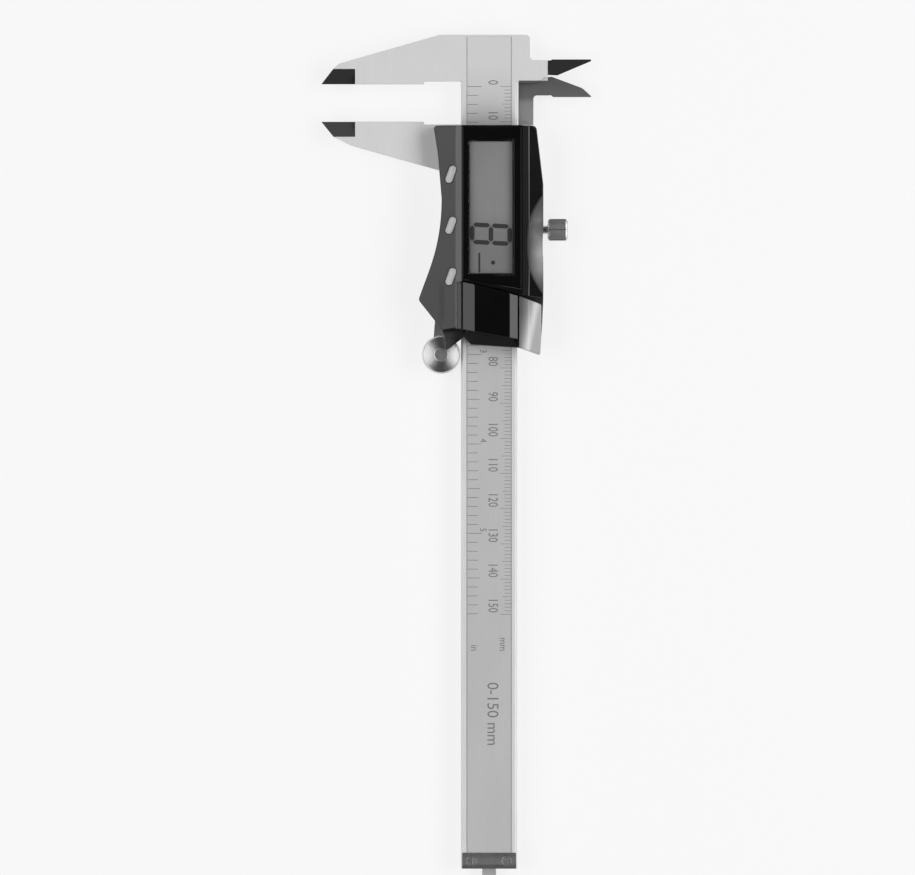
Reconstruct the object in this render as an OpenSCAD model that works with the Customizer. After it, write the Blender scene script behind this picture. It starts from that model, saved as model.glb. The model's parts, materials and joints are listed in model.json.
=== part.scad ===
// Digital caliper, 150 mm. Lies face up: +X is the way the slider opens, +Z out of the display.
// Modules work in beam coordinates: x = 0 is the fixed measuring face, y = 0 the middle of the
// beam and z = 0 its back. The slider's pieces work in the same axes, with x = 0 on the moving
// measuring face. in_row_frame() then puts the origin in the middle of the fixed jaw's face.

/* [Measuring range] */
// Gap between the outside jaws as drawn
jaw_gap = 10.7; // [5:0.1:20]
// Longest length it measures
scale_range = 150; // [120:10:150]

/* [Beam and jaws] */
// Width of the beam
beam_w = 16; // [15.5:0.1:16.5]
// Thickness of the beam and of both outside jaws
beam_t = 3.5; // [3.4:0.05:3.6]
// Length of the fixed jaw along the beam, at its root
jaw_root = 14; // [13:0.5:16]
// Reach of the outside jaws below the beam's edge
jaw_reach = 39.7; // [36:0.1:42]
// Reach of the inside jaws above the beam's edge
nib_reach = 21; // [19:0.5:22]
// Distance from the outside measuring face back to the inside one
nib_offset = 7.05; // [6.9:0.05:7.3]
// Width of the printed scale film
film_w = 12.8; // [12:0.1:13]

/* [Slider] */
// Thickness of the slider's back plate
back_t = 1.6; // [1.4:0.1:2]
// Running gap between the slider and the beam
slide_gap = 0.05; // [0.03:0.01:0.1]
// Length of the slider's steel channel
channel_len = 60.5; // [60:0.1:60.6]
// Height of the display face above the beam's back
face_z = 11.4; // [11.2:0.1:11.6]
// Height of the battery door above the beam's back
door_z = 12.3; // [12.1:0.1:12.5]

/* [Controls] */
// Radius of the thumb roller over its knurl
roller_r = 5.5; // [5.3:0.1:5.5]
// Diameter of the lock screw's knurled head
lock_head_d = 6.2; // [5:0.1:6.2]
// Pitch of the lock screw's thread
lock_pitch = 0.5; // [0.4:0.05:0.5]
// Length of each push button
button_len = 5.2; // [5:0.1:5.6]

/* [Hidden] */
$fn = 48;
EPS = 0.01;

// Beam
half_w = beam_w / 2;
beam_len = scale_range + 73;
beam_chamfer = 0.6;
film_t = 0.15;
stator_t = 0.75;
strip_start = -jaw_root + 0.5;
stop_len = 4.5;
stop_screw_y = [-5, 5];
strip_end = beam_len - stop_len - 0.1;
jaw_tip_y = -half_w - jaw_reach;
nib_tip_y = half_w + nib_reach;
jaw_hollow_y = -half_w - 10.5;
jaw_hollow_d = 0.8;
bevel_y = jaw_tip_y + 9.6;
bevel_x = 4.2;
edge_t = 0.9;
ear_w = 3.6;
split_z = beam_t / 2;
split_gap = 0.05;
face_mid_y = (jaw_tip_y + jaw_hollow_y) / 2;

// Slider channel
gib_t = 0.8;
rail_bottom_y = -half_w - slide_gap;
rail_top_y = half_w + slide_gap + gib_t + slide_gap;
rail_w = 3.5;
rail_top_z = beam_t + 0.4;
rail_start = 0.8;
stem_w = 4.3;
gib_screw_x = [14, 42];
low_rail_mid_y = rail_bottom_y - rail_w / 2;
high_rail_mid_y = rail_top_y + rail_w / 2;
case_screws_at = [
    [5, low_rail_mid_y], [57, low_rail_mid_y], [5, high_rail_mid_y], [48.4, high_rail_mid_y]
];

// Depth rod
rod_w = 4;
rod_t = 1.7;
rod_gap = 0.1;
rod_start = 50;
rod_rivet_x = 53;

// Case
base_top_z = 5.4;
wall = 1.1;
deck_z = 10;
case_front = 1.3;
case_end = 80;
cavity_end = 44.75;
bezel_y = [-7.5, 9.1];
window_x = [5.3, 43.7];
window_y = [-6, 7];
lens_z = face_z - 0.5;
crest_y = -9.6;
crest_z = 10.4;
grip_slope = 0.3235;
claw_z = 7.4;
end_face_at = [59.2, -7.3, 10.2];
end_lean = 48;
end_skew = -10;

// Board, display and buttons
board_z = 4.4;
board_t = 1;
board_top_z = board_z + board_t;
board_x = [2.6, 10.5, 47.4];
board_y = [-12.4, -7.8, 8.6];
lcd_x = [3.9, 44.1];
lcd_y = [-6.8, 7.8];
lcd_z = 8.4;
lcd_t = 1.8;
button_w = 2.1;
button_y = -10.9;
button_tilt = -20;
button_proud = 0.55;
button_x = [15.1, 29.6, 44.1];
button_foot_z = board_top_z + 1.3;

// Battery, door and data port
cell_r = 5.8;
cell_h = 5.4;
cell_pos = [53.4, 1.0];
cell_z = 4.55;
door_front = [45.4, 49.4];
door_back = [59.2, 62];
door_y = [-7.7, 8.3];
runner_w = 0.7;
port_front = [49.6, 52];
port_back = [64.3, 66.4];
port_y = [8.5, 14.8];
socket_x = [53.5, 60.5];

// Thumb roller
roller_pos = [66.2, -half_w - roller_r - 0.1];
roller_z = [-0.5, 4.7];
axle_r = 1.2;
bracket_t = 0.9;
bracket_screw_at = [52, 1.2];
bracket_foot = [49.5, 55];
rail_side_y = rail_bottom_y - rail_w;
knurl_teeth = 60;

// Lock screw
lock_x = 30.7;
lock_z = beam_t / 2;
lock_shank_r = 1.25;
lock_head_y = [16.6, 22.4];
lock_slack = 0.75 * lock_pitch;
relief_r = 55;
relief_at = [lock_x + 4.2, 11, face_z - 0.5];
relief_lean = 31;
pad_len = 1.6;

// Helpers

// Points of a polygon whose corners [x, y, radius] are rounded by arcs of n steps
function rounded(corners, n = 6) = [
    for (i = [0 : len(corners) - 1])
        let (
            last = len(corners) - 1,
            b = corners[i],
            a = corners[i == 0 ? last : i - 1],
            c = corners[i == last ? 0 : i + 1],
            r = b[2]
        )
        each r == 0 ? [[b[0], b[1]]] : corner_arc(a, b, c, r, n)
];

// The arc of radius r that rounds corner b between a and c
function corner_arc(a, b, c, r, n) =
    let (
        u = unit2([a[0] - b[0], a[1] - b[1]]),
        v = unit2([c[0] - b[0], c[1] - b[1]]),
        half = acos(u * v) / 2,
        mid = unit2(u + v),
        centre = [b[0], b[1]] + mid * r / sin(half),
        from = [b[0], b[1]] + u * r / tan(half) - centre,
        to = [b[0], b[1]] + v * r / tan(half) - centre,
        start = atan2(from[1], from[0]),
        turn = atan2(from[0] * to[1] - from[1] * to[0], from * to)
    )
    [for (k = [0 : n]) centre + r * [cos(start + turn * k / n), sin(start + turn * k / n)]];

function unit2(v) = v / norm(v);

// Points of a cubic Bezier curve
function bezier(p, n) = [
    for (k = [0 : n])
        let (t = k / n, s = 1 - t)
        s * s * s * p[0] + 3 * s * s * t * p[1] + 3 * s * t * t * p[2] + t * t * t * p[3]
];

module in_row_frame() translate([0, -face_mid_y, -beam_t / 2]) children();

module on_slider() in_row_frame() translate([jaw_gap, 0, 0]) children();

// A box between two values on each axis
module block(x, y, z)
    translate([x[0], y[0], z[0]]) cube([x[1] - x[0], y[1] - y[0], z[1] - z[0]]);

// A YZ profile drawn as [y, z] points, run along x
module along_x(x, points)
    translate([x[0], 0, 0]) rotate([90, 0, 90]) linear_extrude(x[1] - x[0]) polygon(points);

// An XZ profile drawn as [x, z] points, run along y
module along_y(y, points)
    translate([0, y[1], 0]) rotate([90, 0, 0]) linear_extrude(y[1] - y[0]) polygon(points);

// A cylinder whose axis runs along y
module rod_y(x, z, r, y)
    translate([x, y[1], z]) rotate([90, 0, 0]) cylinder(r = r, h = y[1] - y[0]);

module plate(points, z) translate([0, 0, z[0]]) linear_extrude(z[1] - z[0]) polygon(points);

// A straight-knurled disc profile
function knurl(r, teeth, depth) = [
    for (k = [0 : 2 * teeth - 1])
        let (a = 180 * k / teeth)
        (k % 2 == 0 ? r : r - depth) * [cos(a), sin(a)]
];

// Beam with the fixed jaws

// Ground wedge that thins an outside jaw's tip, for a jaw lying on side dir of its face
module tip_bevels(dir) {
    y = [jaw_tip_y - 1, bevel_y];
    flat = (beam_t - edge_t) / 2;
    along_y(y, [[dir * bevel_x, beam_t + EPS], [-dir, beam_t + EPS], [-dir, beam_t - flat],
        [0, beam_t - flat]]);
    along_y(y, [[dir * bevel_x, -EPS], [-dir, -EPS], [-dir, flat], [0, flat]]);
}

module fixed_jaw_plate()
    plate(rounded([
        [0, jaw_tip_y, 0], [-4.2, jaw_tip_y + 3.3, 0.6], [-5.8, jaw_tip_y + 5, 3],
        [-jaw_root, -14, 7], [-jaw_root, half_w - 1, 0], [-jaw_hollow_d, half_w - 1, 0],
        [-jaw_hollow_d, jaw_hollow_y, 0.3], [0, jaw_hollow_y, 0]
    ]), [0, beam_t]);

// The fixed inside jaw stands on the front half of the beam's thickness
module fixed_nib()
    difference() {
        plate(rounded([
            [-jaw_root, half_w - 1.5, 0], [-0.4, half_w - 1.5, 0], [-0.4, 13.6, 0.4],
            [-2.6, 16.8, 0.4], [-2.5, 19.4, 1], [-nib_offset + 0.5, nib_tip_y, 0],
            [-nib_offset, nib_tip_y, 0], [-nib_offset, 18, 0], [-nib_offset + 0.3, 17.4, 0],
            [-nib_offset + 0.3, half_w + ear_w, 1.2], [-jaw_root, half_w + ear_w, 1.2]
        ]), [split_z + split_gap, beam_t]);
        translate([0, 16.5, 0])
            along_y([0, nib_reach], [[-2.4, beam_t + EPS], [-nib_offset - 1, beam_t + EPS],
                [-nib_offset - 1, split_z + 0.25], [-nib_offset, split_z + 0.35]]);
    }

module beam_bar()
    along_x([-jaw_root, beam_len], [
        [-half_w, 0.3], [0.3 - half_w, 0], [half_w - 0.3, 0], [half_w, 0.3],
        [half_w, beam_t - beam_chamfer], [half_w - beam_chamfer, beam_t],
        [beam_chamfer - half_w, beam_t], [-half_w, beam_t - beam_chamfer]
    ]);

module main_beam()
    color("gainsboro") in_row_frame() difference() {
        union() {
            beam_bar();
            fixed_jaw_plate();
            fixed_nib();
        }
        block([strip_start, strip_end], [-film_w / 2, film_w / 2],
            [beam_t - film_t - stator_t, beam_t + 1]);
        block([rod_start - 2, beam_len + 1], [-rod_w / 2 - rod_gap, rod_w / 2 + rod_gap],
            [-1, rod_t + 2 * rod_gap]);
        tip_bevels(-1);
        for (y = stop_screw_y)
            translate([beam_len - stop_len / 2, y, beam_t - 1.2]) cylinder(r = 0.8, h = 2);
    }

module scale_stator()
    color("darkolivegreen") in_row_frame()
        block([strip_start, strip_end], [-film_w / 2, film_w / 2],
            [beam_t - film_t - stator_t, beam_t - film_t]);

module scale_film()
    color("lightgray") in_row_frame()
        block([strip_start, strip_end], [-film_w / 2, film_w / 2], [beam_t - film_t, beam_t]);

module end_stop()
    color("dimgray") in_row_frame() difference() {
        along_y([-half_w + 0.3, half_w - 0.3], [
            [beam_len - stop_len, beam_t], [beam_len, beam_t], [beam_len, beam_t + 0.5],
            [beam_len - 1, beam_t + 1], [beam_len - stop_len + 1.2, beam_t + 1],
            [beam_len - stop_len, beam_t + 0.4]
        ]);
        for (y = stop_screw_y)
            translate([beam_len - stop_len / 2, y, beam_t]) {
                translate([0, 0, -1]) cylinder(r = 0.85, h = 3);
                translate([0, 0, 0.45]) cylinder(r = 1.45, h = 2);
            }
    }

module end_stop_screws()
    color("silver") in_row_frame() for (y = stop_screw_y)
        translate([beam_len - stop_len / 2, y, beam_t]) cross_screw(0.78, 1.4, 1.1, 0.5);

// A screw with its head's underside at z = 0.45, its shank below and a cross recess in its head
module cross_screw(shank_r, head_r, shank_len, head_h)
    difference() {
        union() {
            translate([0, 0, -shank_len]) cylinder(r = shank_r, h = shank_len + 0.5);
            translate([0, 0, 0.45]) cylinder(r = head_r, h = head_h);
        }
        translate([0, 0, 0.2 + head_h]) cross_slot(head_r * 0.7);
    }

// A cross recess that opens upwards, reaching r from its middle
module cross_slot(r)
    for (turn = [0, 90])
        rotate([0, 0, turn]) translate([-r, -0.2, 0]) cube([2 * r, 0.4, 1]);

// Slider

module moving_jaw_plate()
    plate(rounded([
        [0, jaw_tip_y, 0], [0, jaw_hollow_y, 0], [jaw_hollow_d, jaw_hollow_y, 0.3],
        [jaw_hollow_d, rail_bottom_y - 1, 0], [16, rail_bottom_y - 1, 0],
        [14.6, -11.5, 1], [6.8, jaw_tip_y + 8.6, 12], [4.2, jaw_tip_y + 3.4, 0.6]
    ]), [0, beam_t]);

// The moving inside jaw and its stem keep to the back half, so they pass behind the fixed one
module moving_nib()
    difference() {
        plate(rounded([
            [rail_start + 1, half_w + 0.3, 0], [-12.6, half_w + 0.3, 0.4], [-12.8, 17.9, 1],
            [-9.6, 26.5, 3], [-nib_offset - 0.3, nib_tip_y, 0], [-nib_offset, nib_tip_y, 0],
            [-nib_offset, 18.2, 0], [-nib_offset - 0.5, 17.6, 0],
            [-nib_offset - 0.5, half_w + 0.3 + stem_w, 1],
            [rail_start + 1, half_w + 0.3 + stem_w, 0]
        ]), [0, split_z - split_gap]);
        translate([0, 17, 0])
            along_y([0, nib_reach], [[-12, -EPS], [-nib_offset + 1, -EPS],
                [-nib_offset + 1, split_z - 0.3], [-nib_offset, split_z - 0.4]]);
    }

module rails() {
    block([rail_start, channel_len], [rail_side_y, rail_bottom_y], [-back_t, rail_top_z]);
    block([rail_start, channel_len], [rail_top_y, rail_top_y + rail_w], [-back_t, rail_top_z]);
    block([rail_start, channel_len], [rail_bottom_y - 1, rail_top_y + 1], [-back_t, -slide_gap]);
}

module slider_frame()
    color("silver") on_slider() difference() {
        union() {
            rails();
            moving_jaw_plate();
            moving_nib();
        }
        tip_bevels(1);
        rod_y(lock_x, lock_z, lock_shank_r + 0.05, [rail_top_y - 1, rail_top_y + rail_w + 1]);
        for (x = gib_screw_x)
            rod_y(x, lock_z, 1.02, [rail_top_y - 1, rail_top_y + rail_w + 1]);
        for (p = case_screws_at) {
            translate([p[0], p[1], -back_t - 1]) cylinder(r = 0.85, h = 8);
            translate([p[0], p[1], -back_t - 1]) cylinder(r = 1.4, h = 1.85);
        }
        translate([rod_rivet_x, 0, -back_t - 1]) cylinder(r = 1.02, h = 3);
        rod_y(bracket_screw_at[0], bracket_screw_at[1], 0.7, [rail_side_y - 1, rail_side_y + 1.2]);
    }

module gib_strip()
    color("goldenrod") on_slider()
        block([rail_start + 1, channel_len - 1],
            [half_w + slide_gap, half_w + slide_gap + gib_t], [0.3, beam_t - 0.8]);

module gib_screws()
    color("dimgray") on_slider() for (x = gib_screw_x) difference() {
        rod_y(x, lock_z, 1, [rail_top_y - 0.03, rail_top_y + rail_w - 0.3]);
        block([x - 2, x + 2], [rail_top_y + rail_w - 0.8, rail_top_y + rail_w],
            [lock_z - 0.15, lock_z + 0.15]);
    }

module depth_rod()
    color("silver") on_slider() difference() {
        block([rod_start, beam_len], [-rod_w / 2, rod_w / 2], [rod_gap, rod_gap + rod_t]);
        translate([rod_rivet_x, 0, -1]) cylinder(r = 1.02, h = 3.5);
        translate([beam_len - 1.5, rod_w / 2, -1]) rotate([0, 0, -40]) cube([4, 3, 5]);
    }

module depth_rod_rivet()
    color("gray") on_slider() translate([rod_rivet_x, 0, -back_t + 0.1])
        cylinder(r = 1, h = back_t + rod_gap + rod_t - 0.2);

// Case

// Outline of the case seen from the front. Its grip edge is a Bezier curve that flares into the
// thumb rest, and its far end reaches over the roller in a pointed claw.
grip_edge = bezier([[22, -13.5], [35, -13.5], [42.5, -17.2], [48.2, -19.2]], 14);
claw_tip = [65.2, -12.3];

case_outline = rounded(concat(
    [[case_front, -15.8, 0.8], [9, -14.6, 12]],
    [for (p = grip_edge) [p[0], p[1], 0]],
    [[50.7, -20.1, 1.4], [58.9, -13.6, 2], [61, -12.8, 1], [claw_tip[0], claw_tip[1], 0.3]],
    [[61.3, -7.2, 0], [63.4, -5.2, 0], [port_back[0], port_y[0], 0]],
    [[port_back[1], port_y[1] - 0.3, 0.5]],
    [[57, 15.1, 6], [50, 15.4, 6], [18, 15.4, 12], [case_front, 13.4, 1.2]]
));

// Cross-section of the case: grip panel, its chamfer, the display face and two side facets
function case_section(inset) = [
    [-30, 0], [-30, crest_z - grip_slope * (30 + crest_y) - inset], [crest_y, crest_z - inset],
    [-7.8, face_z - inset], [9.3, face_z - inset], [11.4, face_z - 0.6 - inset],
    [15 - inset, 7.3 - inset], [17, 5.4 - inset], [17, 0]
];

module case_prism() plate(case_outline, [base_top_z, door_z + 1]);

module case_envelope() {
    intersection() {
        case_prism();
        along_x([-1, case_end], case_section(0));
    }
}

// The end face leans forward above the base, and leaves the claw over the roller uncut
module end_chamfer()
    difference() {
        translate(end_face_at) rotate([0, 0, end_skew]) rotate([0, -end_lean, 0])
            translate([0, -20, -12]) cube([20, 60, 30]);
        block([50, case_end], [-30, -7.2], [0, claw_z]);
    }

// Finger relief in both shells' side, round the lock screw
module lock_relief()
    translate(relief_at) rotate([relief_lean, 0, 0])
        translate([0, relief_r, -15]) cylinder(r = relief_r, h = 30, $fn = 180);

module slanted(front, back, y, z, grow = 0)
    plate([
        [front[0] - grow, y[0] - grow], [front[1] - grow, y[1] + grow],
        [back[1] + grow, y[1] + grow], [back[0] + grow, y[0] - grow]
    ], z);

// Space for the board, the display and the cell
module case_cavity() {
    z = [base_top_z - 1, face_z + 1];
    intersection() {
        along_x([case_front + wall, cavity_end], case_section(wall));
        union() {
            block([case_front + wall, cavity_end], [-8, 8.8], z);
            block([10.3, cavity_end], [-12.5, 11.2], z);
        }
    }
    // room for the last button's flange, beside the door
    block([cavity_end - 1, 48.4], [-12.5, -8.3], [base_top_z - 1, 8.4]);
    translate([cell_pos[0], cell_pos[1], base_top_z - 1]) cylinder(r = cell_r + 0.2, h = 8);
    block([cavity_end - 1, cell_pos[0]], [-1, 3], [base_top_z - 1, base_top_z + 2]);
}

// An upright slot shape, turned the way the buttons lie
module oval(x, y, len, w, z)
    translate([x, y, z[0]]) rotate([0, 0, button_tilt]) {
        for (s = [-1, 1])
            translate([s * (len - w) / 2, 0, 0]) cylinder(r = w / 2, h = z[1] - z[0]);
        translate([-(len - w) / 2, -w / 2, 0]) cube([len - w, w, z[1] - z[0]]);
    }

module case_cover()
    color("dimgray") on_slider() difference() {
        case_envelope();
        case_cavity();
        end_chamfer();
        lock_relief();
        // display recess and the window under it
        slanted([case_front + 0.3, case_front + 0.3], [44.6, 47.4], bezel_y,
            [lens_z, face_z + 1], 0.05);
        block([window_x[0] + 0.5, window_x[1] - 0.5], [window_y[0] + 0.5, window_y[1] - 0.5],
            [deck_z, face_z + 1]);
        for (x = button_x)
            oval(x, button_y, button_len + 0.3, button_w + 0.3, [base_top_z, face_z]);
        // flat strip beside the battery door
        block([door_front[0] + 0.3, case_end], [door_y[0] - 1.5, door_y[0]], [deck_z + 0.15, door_z + 2]);
        // deck under the door, with its two runner grooves
        slanted(door_front, [80, 80], door_y, [deck_z, door_z + 2], 0.1);
        for (y = [door_y[0] + 0.3, door_y[1] - 0.3 - runner_w])
            block([49.5, case_end], [y - 0.1, y + runner_w + 0.1], [deck_z - 0.8, deck_z + 1]);
        // corner that the data port's cover fills
        slanted(port_front, [90, 90], [port_y[0], 30], [0, 30], 0.1);
        for (p = case_screws_at)
            translate([p[0], p[1], 0]) cylinder(r = 0.82, h = 8.5);
    }

module case_base()
    color([0.12, 0.12, 0.13]) on_slider() difference() {
        plate(case_outline, [rail_top_z, base_top_z]);
        // window over the scale, and the pocket that the board lies in
        block([4, 46.6], [-7.4, 7.4], [0, 20]);
        board_plan(0.1, [board_z, 20]);
        translate([cell_pos[0], cell_pos[1], cell_z - 0.25]) cylinder(r = cell_r + 0.2, h = 8);
        lock_relief();
        // room for the roller under the claw
        block([60.2, case_end], [-30, -7.6], [0, 20]);
        for (p = case_screws_at)
            translate([p[0], p[1], 0]) cylinder(r = 0.85, h = 20);
    }

module case_screws()
    color("silver") on_slider() for (p = case_screws_at)
        translate([p[0], p[1], -back_t + 0.1]) difference() {
            union() {
                cylinder(r = 0.8, h = 9);
                cylinder(r = 1.35, h = 0.7);
            }
            translate([0, 0, 0.35]) mirror([0, 0, 1]) cross_slot(0.9);
        }

module display_bezel()
    color("black") on_slider() difference() {
        slanted([case_front + 0.35, case_front + 0.35], [44.6, 47.4], bezel_y,
            [lens_z, face_z + 0.2]);
        block(window_x, window_y, [0, 20]);
    }

module display_lens()
    color("lightsteelblue", 0.4) on_slider()
        block([window_x[0] + 0.05, window_x[1] - 0.05], [window_y[0] + 0.05, window_y[1] - 0.05],
            [lens_z, face_z]);

// Display, board and buttons

module lcd_glass()
    color("darkseagreen") on_slider() block(lcd_x, lcd_y, [lcd_z, lcd_z + lcd_t]);

module lcd_holder()
    color("whitesmoke") on_slider() difference() {
        block([lcd_x[0] - 0.5, lcd_x[1] + 0.5], [lcd_y[0] - 0.7, lcd_y[1] + 0.7],
            [board_top_z, lcd_z + lcd_t]);
        block([lcd_x[0] - 0.05, lcd_x[1] + 0.05], [lcd_y[0] - 0.05, lcd_y[1] + 0.05],
            [lcd_z, 20]);
        block([lcd_x[0] + 1, lcd_x[1] - 1], [lcd_y[0] + 0.3, lcd_y[1] - 0.3], [0, 20]);
    }

// The two elastomer strips that join the glass to the board
module lcd_connectors()
    color("dimgray") on_slider() for (y = [lcd_y[0] + 0.5, lcd_y[1] - 2])
        block([lcd_x[0] + 1.5, lcd_x[1] - 1.5], [y, y + 1.5], [board_top_z, lcd_z]);

// Plan of the board: the display's part, and a wider part under the buttons
module board_plan(grow, z) {
    block([board_x[0] - grow, board_x[2] + grow], [board_y[1] - grow, board_y[2] + grow], z);
    block([board_x[1] - grow, board_x[2] + grow], [board_y[0] - grow, board_y[2] + grow], z);
}

module circuit_board()
    color("darkgreen") on_slider() {
        board_plan(0, [board_z, board_top_z]);
        // receiver pads that read the scale
        block([6, 44], [-6, 6], [beam_t + 0.3, board_z]);
    }

module controller_chip()
    color("black") on_slider() block([17, 29], [-3, 4], [board_top_z, board_top_z + 1.4]);

module button_domes()
    color("silver") on_slider() for (x = button_x)
        translate([x, button_y, board_top_z]) cylinder(r1 = 1.4, r2 = 0.8, h = 0.7);

// A push button: an oval cap that follows the panel's slope, a flange that keeps it under the
// panel, and a foot over its dome
module push_button(x) {
    flange_z = button_foot_z + 0.25;
    intersection() {
        oval(x, button_y, button_len, button_w, [flange_z + 0.5, face_z + 1]);
        along_x([x - button_len, x + button_len], case_section(-button_proud));
    }
    oval(x, button_y, button_len + 0.6, button_w - 0.4, [flange_z, flange_z + 1]);
    translate([x, button_y, button_foot_z]) cylinder(r = 0.9, h = 0.6);
}

module power_button() color("gainsboro") on_slider() push_button(button_x[0]);

module unit_button() color("gainsboro") on_slider() push_button(button_x[1]);

module zero_button() color("gainsboro") on_slider() push_button(button_x[2]);

// Battery and data port

module battery_cell()
    color("silver") on_slider() translate([cell_pos[0], cell_pos[1], cell_z]) {
        cylinder(r = cell_r - 0.6, h = 0.4);
        translate([0, 0, 0.4]) cylinder(r = cell_r, h = cell_h - 0.4);
    }

module battery_contact_minus()
    color("goldenrod") on_slider() translate([cell_pos[0], cell_pos[1], cell_z - 0.2])
        cylinder(r = 3, h = 0.2);

module battery_contact_plus()
    color("goldenrod") on_slider()
        block([cell_pos[0] - cell_r - 0.9, cell_pos[0] - cell_r - 0.1], [-0.8, 2.8],
            [base_top_z, base_top_z + 1.8]);

module battery_door()
    color("black") on_slider() {
        intersection() {
            slanted(door_front, door_back, door_y, [deck_z + 0.03, door_z + 1]);
            along_x([40, 70], [
                [door_y[0] - 1, 0], [door_y[0] - 1, 9.9], [-4.2, door_z], [5.7, door_z],
                [door_y[1] + 1, 10.6], [door_y[1] + 1, 0]
            ]);
        }
        for (y = [door_y[0] + 0.3, door_y[1] - 0.3 - runner_w])
            block([51, 58.5], [y, y + runner_w], [deck_z - 0.7, deck_z + 0.1]);
    }

module port_connector()
    color([0.1, 0.1, 0.1]) on_slider()
        block(socket_x, [9.6, 12.4], [base_top_z, base_top_z + 2.6]);

module port_pins()
    color("gold") on_slider() for (k = [0 : 3])
        block([socket_x[1], socket_x[1] + 0.6], [10 + 0.56 * k, 10.3 + 0.56 * k],
            [base_top_z + 0.9, base_top_z + 1.7]);

module port_cover()
    color("gainsboro") on_slider() difference() {
        intersection() {
            plate(case_outline, [base_top_z, 20]);
            slanted(port_front, port_back, port_y, [base_top_z + 0.03, 20]);
            along_x([40, 80], case_section(0));
        }
        block([45, 61.9], [9.2, 12.8], [0, base_top_z + 3.2]);
    }

// Thumb roller

module roller_bracket()
    color("silver") on_slider() difference() {
        union() {
            hull() {
                for (p = [[roller_pos[0], roller_pos[1]], [50, -14], [54, -13.6]])
                    translate([p[0], p[1], -back_t + 0.1])
                        cylinder(r = p[0] > 60 ? 2.6 : 1, h = bracket_t, $fn = 24);
            }
            block(bracket_foot, [rail_side_y - 1.2, rail_side_y - 0.01], [-back_t + 0.1, 3]);
        }
        translate([roller_pos[0], roller_pos[1], -5]) cylinder(r = axle_r + 0.01, h = 10);
        rod_y(bracket_screw_at[0], bracket_screw_at[1], 0.75, [-30, 0]);
    }

module bracket_screw()
    color("gray") on_slider() difference() {
        union() {
            rod_y(bracket_screw_at[0], bracket_screw_at[1], 0.68, [rail_side_y - 1.3, rail_side_y + 1]);
            rod_y(bracket_screw_at[0], bracket_screw_at[1], 1.3, [rail_side_y - 1.9, rail_side_y - 1.22]);
        }
        block([bracket_screw_at[0] - 2, bracket_screw_at[0] + 2], [rail_side_y - 3, rail_side_y - 1.65],
            [bracket_screw_at[1] - 0.15, bracket_screw_at[1] + 0.15]);
    }

module roller_axle()
    color("silver") on_slider() translate([roller_pos[0], roller_pos[1], 0]) {
        translate([0, 0, -back_t + 0.1]) cylinder(r = axle_r, h = roller_z[1] + back_t + 0.1);
        translate([0, 0, roller_z[1] + 0.08]) cylinder(r = 2, h = 0.5);
    }

module thumb_roller()
    color("silver") on_slider() translate([roller_pos[0], roller_pos[1], roller_z[0]])
        difference() {
            union() {
                translate([0, 0, 0.4]) linear_extrude(roller_z[1] - roller_z[0] - 0.8)
                    polygon(knurl(roller_r, knurl_teeth, 0.25));
                cylinder(r = roller_r - 0.4, h = roller_z[1] - roller_z[0]);
            }
            translate([0, 0, -1]) cylinder(r = axle_r + 0.05, h = 10);
        }

// Lock screw, whose thread carries it along while the pad on its tip only slides

module lock_pad()
    color("goldenrod") on_slider()
        rod_y(lock_x, lock_z, 1.15, [half_w + slide_gap + gib_t + 0.03 + lock_slack,
            rail_top_y + pad_len]);

module lock_screw()
    color("silver") on_slider() {
        rod_y(lock_x, lock_z, lock_shank_r, [rail_top_y + pad_len + 0.02, lock_head_y[0] + 0.5]);
        translate([lock_x, lock_head_y[1], lock_z]) rotate([90, 0, 0]) {
            translate([0, 0, 0.5]) linear_extrude(lock_head_y[1] - lock_head_y[0] - 1)
                polygon(knurl(lock_head_d / 2, 32, 0.25));
            cylinder(r = lock_head_d / 2 - 0.4, h = lock_head_y[1] - lock_head_y[0]);
        }
    }

main_beam();
scale_stator();
scale_film();
end_stop();
end_stop_screws();
slider_frame();
gib_strip();
gib_screws();
depth_rod();
depth_rod_rivet();
case_base();
case_cover();
case_screws();
display_bezel();
display_lens();
lcd_glass();
lcd_holder();
lcd_connectors();
circuit_board();
controller_chip();
button_domes();
power_button();
unit_button();
zero_button();
battery_cell();
battery_contact_minus();
battery_contact_plus();
battery_door();
port_connector();
port_pins();
port_cover();
roller_bracket();
bracket_screw();
roller_axle();
thumb_roller();
lock_pad();
lock_screw();
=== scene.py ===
"""Looks of the digital caliper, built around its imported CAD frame.

Sizes are in millimetres, along the frame's own axes. Two points serve as origins, both taken from the
frame: BEAM is on the fixed measuring face, at the beam's middle line and its back, and SLIDER is the
same point on the moving jaw. AXIS_Y is the middle line's y.
"""

import json
import math

import bmesh
import bpy
from mathutils import Matrix, Vector

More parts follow.
